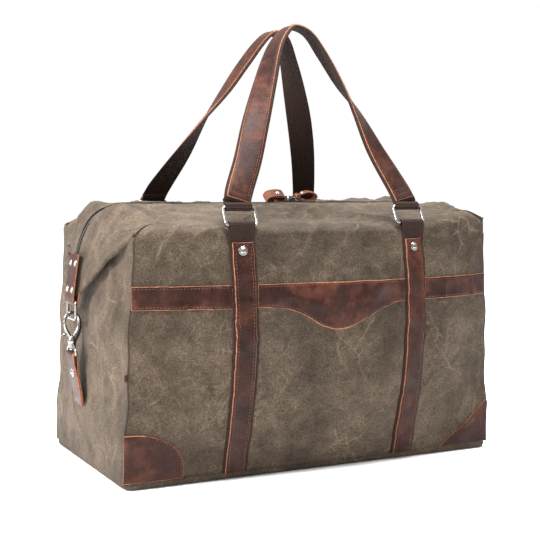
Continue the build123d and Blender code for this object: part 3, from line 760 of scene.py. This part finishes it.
class Threads:
    """Gathers the stitch rows of one body into one piece."""

    def __init__(self):
        self.points, self.faces = [], []

    def row(self, path, normals, pitch=4.2, length=2.9, width=0.75):
        """Thread dashes along a path, each a small raised lozenge."""
        runs = run_along(path)
        for index in range(int(runs[-1] / pitch)):
            distance = (index + 0.5) * pitch
            centre = point_at(distance, runs, path)
            up = point_at(distance, runs, normals)
            ahead = unit(point_at(distance + 0.5, runs, path) - centre)
            side = np.cross(up, ahead)
            self.faces += [tuple(len(self.points) + i for i in f) for f in DASH_FACES]
            for a, b, c in DASH:
                across = side * (b * width / 2) + up * (c * DASH_RISE)
                self.points.append(centre + ahead * (a * length / 2) + across)

    def piece(self, name, body):
        attach(make_piece(name, self.points, self.faces, [THREAD]), body)


# ---- trim on the front and back ----

def on_front(xs, zs, side):
    """Surface grid of a trim piece, on the front or mirrored to the back."""
    return on_side(side, front_shape(xs, zs, FOLD_SEED[side]))


def trim_slab(name, xs, zs, side, layer, node, slot="leather", uv=None):
    """A trim piece between a layer's two faces, following the canvas under it."""
    grid = on_front(xs, zs, side)
    flip = np.sign(grid_normals(grid)[..., 1].mean()) != OUTWARD[side]
    piece = slab(name, grid, *layer, CLOTH[slot], flip=bool(flip), uv=uv)
    attach(piece, "bag", (node,) if node else ())
    return piece


def row_on_front(threads, xs, zs, side, out):
    """A stitch row on a trim piece: points along one line of the front."""
    xs, zs = np.broadcast_arrays(np.asarray(xs, float), np.asarray(zs, float))
    up = on_front(np.stack([xs, xs], 1), np.stack([zs, zs + 1], 1), side)
    along = on_front(np.stack([xs, xs + 1], 1), np.stack([zs, zs], 1), side)
    normals = unit(np.cross(along[:, 1] - along[:, 0], up[:, 1] - up[:, 0]))
    normals *= np.sign(normals[:, 1:2]) * OUTWARD[side]
    threads.row(up[:, 0] + normals * out, normals)


def straps(threads):
    stitch_z = LEATHER_TOP_Z - 4
    line = np.linspace(12, stitch_z, 120)
    layers = (
        ("strap_web", 16, 290.0, WEB_LAYER, "webbing", "webbing"),
        ("strap_hide", 13, LEATHER_TOP_Z, HIDE_LAYER, "strap_leather", "leather"),
    )
    for side in SIDES:
        for name, x in STRAPS:
            for part, half, top, layer, node, slot in layers:
                xs, zs = np.meshgrid(edged(x - half, x + half, 5), edged(8.0, top, 90), indexing="ij")
                uv = np.stack([xs, zs], axis=-1) if slot == "webbing" else None
                trim_slab(f"{side}_{name}_{part}", xs, zs, side, layer, f"{side}_{name}_{node}", slot, uv)
            for dx in (-STRAP_STITCH_X, STRAP_STITCH_X):
                row_on_front(threads, x + dx, line, side, HIDE_LAYER[1])
            across = np.linspace(x - STRAP_STITCH_X, x + STRAP_STITCH_X, 10)
            row_on_front(threads, across, stitch_z, side, HIDE_LAYER[1])
            strap_loop(f"{side}_{name}_ring_loop", x, side)


def arc(centre, radius, start, end, count):
    """Points on part of a circle, as pairs."""
    return [(centre[0] + radius * math.cos(angle), centre[1] + radius * math.sin(angle))
            for angle in np.linspace(start, end, count)]


def strap_loop(name, x, side):
    """Webbing from the strap's top up round the ring's lower bar and back down behind."""
    front_y = float(fair_front_y(np.array(x), np.array(CURL_START_Z)))
    bar = (-145.5, 302.5)
    route = [(front_y - 1.0, 279), (front_y - 1.6, 288), (bar[0] - 3.2, bar[1] - 6)]
    route += arc(bar, 3.2, math.pi, -math.pi / 5, 12) + [(bar[0] - 0.4, bar[1] - 7), (front_y + 1.0, 290)]
    route = [(x, y, z) for y, z in route]
    strip_piece(name, route, 32.0, 1.8, "bag", "webbing", side == "back")


def strip_piece(name, route, width, thickness, body, slot="leather", mirror_y=False, across=(1, 0, 0),
                nodes=(), flip=None, materials=None):
    """A flat strap bent along a route, its width along one axis."""
    route = pinch(np.array(route, float))
    if mirror_y:
        route[:, 1] *= -1
    offsets = edged(-width / 2, width / 2, 4)
    grid = route[:, None, :] + offsets[None, :, None] * np.array(across, float)
    uv = np.stack(np.broadcast_arrays(offsets[None, :], run_along(route)[:, None]), axis=-1)
    turned = mirror_y if flip is None else flip
    materials = materials or CLOTH[slot]
    piece = slab(name, grid, -thickness / 2, thickness / 2, materials, flip=turned, rim=(0.5,), uv=uv)
    attach(piece, body, nodes)


def wave_at(xs):
    """Height of the centre band's wavy lower edge."""
    wave = through([(x, z, 0) for x, z in WAVE], np.linspace(0, 1, 200))
    return np.interp(xs, wave[:, 0], wave[:, 1])


def bands(threads):
    tall = edged(0, 1, 7, 0.02)
    outer, inner = seam_x(220) - 0.6, STRAP_X + 15.5
    for side in SIDES:
        for name, x0, x1 in (("left", -outer, -inner), ("right", inner, outer), ("centre", -102, 102)):
            xs = edged(x0, x1, 60)
            low = wave_at(xs) if (side, name) == ("front", "centre") else np.full_like(xs, BAND_LOW_Z)
            grid_x = np.repeat(xs[:, None], len(tall), axis=1)
            grid_z = low[:, None] + tall[None, :] * (BAND_HIGH_Z - low)[:, None]
            node = f"band_{name}" if side == "front" else ("back_bands" if name == "centre" else None)
            trim_slab(f"{side}_band_{name}", grid_x, grid_z, side, BAND_LAYER, node)
            line = np.linspace(x0 + 2, x1 - 2, 90)
            row_on_front(threads, line, BAND_HIGH_Z - 3, side, BAND_LAYER[1])
            row_on_front(threads, line, np.interp(line, xs, low) + 3, side, BAND_LAYER[1])


def corners(threads):
    """Quarter-round leather at the four bottom corners; the front right one is cut straighter."""
    for side in SIDES:
        for name, sign in (("left", -1), ("right", 1)):
            zs = edged(8.2, 64.0, 26, 0.8)
            rise = np.clip((zs - 8) / 57.5, 0, 1)
            if (side, name) == ("front", "right"):
                reach = 78.0 * (1 - rise) ** 1.05 + 1.0
            else:
                reach = 72.0 * (1 - rise ** 2.6) ** (1 / 2.1) + 1.0
            share = edged(0, 1, 22, 0.012)
            grid_z = np.repeat(zs[None, :], len(share), axis=0)
            grid_x = sign * (seam_x(grid_z) - 0.3 - share[:, None] * reach[None, :])
            node = f"front_{name}_corner" if side == "front" else ("back_corners" if name == "left" else None)
            trim_slab(f"{side}_{name}_corner_patch", grid_x, grid_z, side, CORNER_LAYER, node)
            rim = grid_x[-1] + sign * 3.0
            row_on_front(threads, rim[3:-3], zs[3:-3], side, CORNER_LAYER[1])


def lathe(name, profile, origin, axis, body, nodes=()):
    """A round nickel piece turned about an axis from radius and height pairs."""
    turn = Vector((0, 0, 1)).rotation_difference(Vector(axis)).to_matrix()
    angles = [2 * math.pi * i / 28 for i in range(28)]
    rings = [
        [turn @ Vector((radius * math.cos(a), radius * math.sin(a), height)) + Vector(origin) for a in angles]
        for radius, height in profile
    ]
    attach(stacked(name, rings, NICKEL), body, nodes)


def rivet_scaled(scale):
    return [(r * scale, h * scale) for r, h in RIVET]


def strap_rivets():
    for side in SIDES:
        for name, x in STRAPS:
            patch_x, patch_z = np.meshgrid([x - 3, x, x + 3], [269.0, 272.0, 275.0], indexing="ij")
            grid = on_front(patch_x, patch_z, side)
            normal = grid_normals(grid)[1, 1]
            normal *= np.sign(normal[1]) * OUTWARD[side]
            nodes = ("strap_rivets",) if (side, name) == ("front", "left") else ()
            origin = grid[1, 1] + normal * HIDE_LAYER[1]
            lathe(f"{side}_{name}_strap_rivet", RIVET, origin, normal, "bag", nodes)


# ---- handles ----

def handle_frames(route, count):
    """Middle line, width direction and outward direction along a handle, built for the front one."""
    x, z, turn = through(route, np.linspace(0, 1, count)).T
    turn = np.radians(turn)
    lean = (z - RING_BAR[1]) / (HANDLE_APEX[1] - RING_BAR[1])
    line = np.stack([x, -RING_BAR[0] + lean * (RING_BAR[0] - HANDLE_APEX[0]), z], axis=-1)
    tangent = unit(np.gradient(line, axis=0))
    width = np.stack([np.cos(turn), -np.sin(turn), 0 * turn], axis=-1)
    width = unit(width - tangent * np.sum(width * tangent, axis=1, keepdims=True))
    return line, width, np.cross(width, tangent)


def handle(side, route):
    body = f"{side}_handle"
    line, width, out = handle_frames(route, 170)
    mirror = np.array([1, -1, 1]) if side == "back" else np.ones(3)
    length = run_along(line)

    def ribbon(name, half, low, high, node, slot, skip):
        keep = slice(skip, len(line) - skip)
        offsets = edged(-half, half, 7)
        grid = line[keep, None, :] + offsets[None, :, None] * width[keep, None, :]
        grid = pinch((grid + out[keep, None, :] * ((low + high) / 2)) * mirror)
        uv = pinch(np.stack(np.broadcast_arrays(offsets[None, :], length[keep, None]), axis=-1))
        facing = pinch(out[keep, None, :]) * mirror
        flip = bool(np.mean(np.sum(grid_normals(grid) * facing, axis=2)) < 0)
        thick = (high - low) / 2
        attach(slab(name, grid, -thick, thick, CLOTH[slot], flip=flip, uv=uv), body, (node,))

    ribbon(f"{side}_handle_web", 17.0, -1.2, 1.2, f"{side}_handle_webbing", "webbing", 0)
    ribbon(f"{side}_handle_hide", 14.0, 1.15, HANDLE_HIDE_TOP, f"{side}_handle_leather", "leather", 1)

    threads = Threads()
    for offset in (-HANDLE_STITCH_X, HANDLE_STITCH_X):
        rows = slice(3, len(line) - 3)
        path = (line[rows] + width[rows] * offset + out[rows] * HANDLE_HIDE_TOP) * mirror
        threads.row(path, out[rows] * mirror)
    span = np.linspace(-HANDLE_STITCH_X, HANDLE_STITCH_X, 8)[:, None]
    for at in (3, 5, len(line) - 4, len(line) - 6):
        path = (line[at] + width[at] * span + out[at] * HANDLE_HIDE_TOP) * mirror
        threads.row(path, np.repeat((out[at] * mirror)[None, :], 8, axis=0), pitch=3.4, length=2.4)
    threads.piece(f"{side}_handle_stitching", body)

    lean = unit(np.array([0.0, RING_BAR[0] - HANDLE_APEX[0], HANDLE_APEX[1] - RING_BAR[1]]))
    normal = np.array([0.0, -lean[2], lean[1]])
    bar = np.array([0.0, -RING_BAR[0], RING_BAR[1]])
    loop = [bar + lean * 5.0 + normal * 1.4, bar + lean * 3.4 + normal * 2.4]
    for angle in np.linspace(0.2, 2 * math.pi - 0.2, 16):
        loop.append(bar + (normal * math.cos(angle + 0.25) - lean * math.sin(angle + 0.25)) * 3.5)
    loop += [bar + lean * 6 - normal * 2.4, bar + lean * 12 - normal * 2.0]
    for name, x in (("left", -RING_X), ("right", RING_X)):
        route = [(x, y, z) for _, y, z in loop]
        strip_piece(f"{side}_handle_{name}_loop", route, 34.0, 2.2, body, "webbing", side == "back")


# ---- ends ----

def end_fittings():
    tab_face = [(-270.6, 263), (-272.6, 250), (-274.6, 236), (-276.6, 222), (-277.9, 211)]
    tab = tab_face + arc(DRING, 3.0, math.pi, 2 * math.pi, 12) + [(-270.4, 216), (-267.6, 229)]
    keeper = [(-267.4, 79), (-268.6, 90), (-271.4, 108), (-274.6, 122), (-276.8, 132)]
    keeper += arc(EYE_BAR, 2.7, math.pi, 0, 12)
    keeper += [(-271.6, 127), (-272.2, 122), (-269.2, 108), (-266.5, 90), (-265.3, 79.3)]
    face_x, face_z = zip(*tab_face[::-1])
    strips = (("tab", tab, 31.0, "end_tab"), ("hook_keeper", keeper, 26.0, "hook_strap"))
    for side, sign in (("left", 1), ("right", -1)):
        for name, route, width, node in strips:
            placed = [(x * sign, 0.0, z) for x, z in route]
            strip_piece(f"{side}_{name}", placed, width, 2.0, "bag", across=(0, 1, 0),
                        nodes=(f"{side}_{node}",), flip=side == "right")
        for index, (y, z) in enumerate([(-8.5, 220), (8.5, 220), (-8.5, 252), (8.5, 252)]):
            origin = ((np.interp(z, face_z, face_x) - 0.9) * sign, y, z)
            nodes = ("end_rivets",) if side == "left" and index == 0 else ()
            lathe(f"{side}_tab_rivet_{index}", rivet_scaled(0.72), origin, (-sign, 0, 0.1), "bag", nodes)
        lathe(f"{side}_keeper_rivet", RIVET, (-274.2 * sign, 0, 118), (-sign, 0, -0.18), "bag")


def tapered(name, path, radii, body, nodes=()):
    """A smooth cast rod in the X, Z plane through points, with its own radius at each."""
    x, z, radius = through([(x, z, r) for (x, z), r in zip(path, radii)], np.linspace(0, 1, 44)).T
    centres = np.stack([x, 0 * x, z], axis=-1)
    ahead = unit(np.gradient(centres, axis=0))
    across = np.array([0.0, 1.0, 0.0]) + 0 * ahead
    up = np.cross(ahead, across)
    turns = np.linspace(0, 2 * math.pi, 14, endpoint=False)
    rings = [centres + radius[:, None] * (across * 0.85 * math.cos(a) + up * math.sin(a)) for a in turns]
    attach(stacked(name, np.stack(rings, axis=1), NICKEL), body, nodes)


def hooks():
    """Lobster-claw hooks: a cast body that swells over the swivel, a round claw and a sprung gate."""
    claw = [(0.5, 157), (3.0, 161), (6.0, 165.5), (8.4, 171), (9.4, 177), (8.8, 184), (5.6, 189.6),
            (0, 191.8), (-5.6, 189.6), (-8.8, 184.5), (-9.4, 180)]
    claw_radii = [4.0, 4.3, 3.9, 3.2, 2.5, 2.1, 1.9, 1.9, 1.9, 1.8, 1.5]
    gate = [(-9.0, 178.6), (-8.2, 174.5), (-6.6, 169.5), (-4.0, 165.0), (-2.2, 161.5)]
    gate_radii = [1.6, 1.8, 2.0, 2.1, 1.8]
    lever = [(-6.2, 168.5), (-8.6, 165.6), (-11.6, 164.6), (-13.2, 165.2)]
    body = [(2.0, 145.4), (3.2, 146.4), (2.6, 148.6), (2.2, 150.4), (3.4, 151.6), (4.6, 153.4), (5.3, 156),
            (5.2, 159), (4.2, 162), (2.4, 164), (0.4, 164.6)]
    for side, sign in (("left", 1), ("right", -1)):
        def placed(path):
            return [(sign * (EYE_BAR[0] + x), z) for x, z in path]

        hook, hook_gate = f"{side}_hook", f"{side}_hook_gate"
        tapered(f"{side}_claw", placed(claw), claw_radii, hook, (hook,))
        lathe(f"{side}_hook_body", body, (sign * EYE_BAR[0], 0, 0), (0, 0, 1), hook)
        tapered(f"{side}_gate", placed(gate), gate_radii, hook_gate, (hook_gate,))
        tapered(f"{side}_gate_lever", placed(lever), [1.2, 1.3, 1.3, 1.0], hook_gate)


def seam_tag():
    x = -seam_x(130)
    route = [(x + 1, -127.4, 130), (x - 0.5, -128.8, 130), (x - 2, -129.6, 129.8), (x - 4.0, -129.8, 129.4)]
    strip_piece("tag", route, 8.0, 1.2, "bag", across=(0, 0, 1), nodes=("seam_tag",), flip=True,
                materials=[LEATHER])


# ---- inside ----

def lining():
    """A thin-walled open tub of cotton: its outside from the floor to the top, then its inside back down."""
    half_x, half_y, foot, top = 238.0, 123.0, 7.0, 286.0
    profile = [(0.94, 6.6), (0.985, 7.2), (1, 12), (1, 150), (1, top), (0.994, top), (0.994, 12.5), (0.97, 8)]
    outline = rounded_outline(half_x, half_y, 16)
    rings = [[(x * scale, y * scale, z) for x, y in outline] for scale, z in profile]
    piece = stacked("cotton_lining", rings, LINING)
    attach(piece, "bag", ("lining",))


def pocket():
    """The slip pocket's canvas, tucked up behind the centre band's wave."""
    across = edged(-101.5, 101.5, 60)
    xs = np.repeat(across[:, None], 64, axis=1)
    zs = 9.0 + (wave_at(across)[:, None] + 5.0 - 9.0) * edged(0, 1, 60, 0.004)[None, :]
    piece = trim_slab("pocket_canvas", xs, zs, "front", (0.0, 0.7), "front_pocket_panel", "canvas")
    on_front(xs, zs, "front")


# ---- sliders ----

def sliders():
    """Folded leather pulls: the left one curled shut, the right one an open lens."""
    curled = [(12, -1.5), (6, -3.4), (1, -3.2), (-2.2, -1), (-2, 1.6), (1, 3.2), (7, 3.6), (14, 3), (20, 1),
              (22, -2.6), (19, -5.2), (14, -5), (11.4, -3.6)]
    lens = [(3, 1.5), (0, 2.6), (-2.4, 1.2), (-2.2, -1.2), (0.5, -2.6), (7, -4.6), (15, -5), (22, -3.4),
            (25.5, -0.4), (23.5, 3.2), (16, 5.2), (9, 4.8), (4.5, 3.2)]
    pulls = (("left", -1, curled, 15.0, 14.0, (0, 0.78, 0.62)),
             ("right", 1, lens, 38.0, 8.0, (0, 0.97, 0.24)))
    for side, direction, loop, start, width, across in pulls:
        route = [(start + direction * dx * 1.12, 6.0, 331.5 + dz * 1.2) for dx, dz in loop]
        route = through_route(route, np.linspace(0, 1, 48))
        body = f"{side}_pull"
        strip_piece(body, route, width, 2.0, body, across=across, nodes=(f"{side}_pull_leather",),
                    flip=direction > 0, materials=[PULL_LEATHER, EDGE])
        origin, tilt = (start + direction * 7, 5.4, 336.4), (0, -across[2], across[1])
        lathe(f"{side}_pull_rivet", rivet_scaled(0.5), origin, tilt, body)


def dress_cad():
    """Materials for the CAD nodes that stay as they are."""
    for node, material in (
        [(f"{a}_{b}_ring", NICKEL) for a in SIDES for b in ("left", "right")]
        + [(f"{a}_{b}", NICKEL) for a in ("left", "right") for b in ("end_ring", "swivel_eye")]
        + [(f"{a}_{b}", GUNMETAL) for a in ("left", "right") for b in ("slider", "pull_link")]
        + [("base_board", BOARD)]
    ):
        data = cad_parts[node].data
        data.materials.clear()
        data.materials.append(material)


# ---- camera, light and floor ----

def place_object(name, data):
    item = bpy.data.objects.new(name, data)
    bpy.context.scene.collection.objects.link(item)
    return item


def camera():
    azimuth, elevation, roll = (math.radians(angle) for angle in CAMERA_ANGLES)
    level = math.cos(elevation)
    back = Vector((math.sin(azimuth) * level, -math.cos(azimuth) * level, math.sin(elevation)))
    right = (-back).cross(Vector((0, 0, 1))).normalized()
    up = right.cross(-back)
    turned_right = right * math.cos(roll) + up * math.sin(roll)
    turned_up = up * math.cos(roll) - right * math.sin(roll)
    data = bpy.data.cameras.new("camera")
    data.sensor_width = 36.0
    data.lens = CAMERA_LENS
    data.clip_end = 50.0
    item = place_object("camera", data)
    turn = Matrix((turned_right, turned_up, back)).transposed().to_4x4()
    item.matrix_world = Matrix.Translation(Vector(CAMERA_PLACE)) @ turn
    bpy.context.scene.camera = item


def area_light(name, place, size, power):
    data = bpy.data.lights.new(name, "AREA")
    data.shape = "DISK"
    data.size = size
    data.energy = power
    item = place_object(name, data)
    item.location = place
    item.rotation_euler = (Vector((0, 0, 0.2)) - Vector(place)).to_track_quat("-Z", "Y").to_euler()


def studio():
    world = bpy.data.worlds.new("studio")
    world.use_nodes = True
    background = world.node_tree.nodes["Background"]
    background.inputs["Color"].default_value = (1, 1, 1, 1)
    background.inputs["Strength"].default_value = 1.0
    bpy.context.scene.world = world
    area_light("key", (-2.4, 0.1, 1.3), 1.2, 180)
    area_light("top", (0.1, -0.1, 2.3), 1.4, 175)
    bpy.context.scene.view_settings.view_transform = "Standard"

    mesh = bpy.data.meshes.new("floor")
    mesh.from_pydata([(-6, -6, 0), (6, -6, 0), (6, 6, 0), (-6, 6, 0)], [], [(0, 1, 2, 3)])
    floor = place_object("floor", mesh)
    floor.location.z = -0.0006
    n = Nodes("pale_floor")
    mesh.materials.append(n.finish((0.97, 0.97, 0.97), 1.0, None, Specular_IOR_Level=0.0))


def main():
    camera()
    studio()
    front_and_back()
    ends()
    bottom_panel()
    corner_seams()
    top_canvas()
    zip_teeth()
    trim_threads = Threads()
    straps(trim_threads)
    bands(trim_threads)
    corners(trim_threads)
    pocket()
    strap_rivets()
    end_fittings()
    hooks()
    trim_threads.piece("trim_stitching", "bag")
    seam_tag()
    handle("front", FRONT_HANDLE_ROUTE)
    handle("back", BACK_HANDLE_ROUTE)
    sliders()
    lining()
    dress_cad()


main()
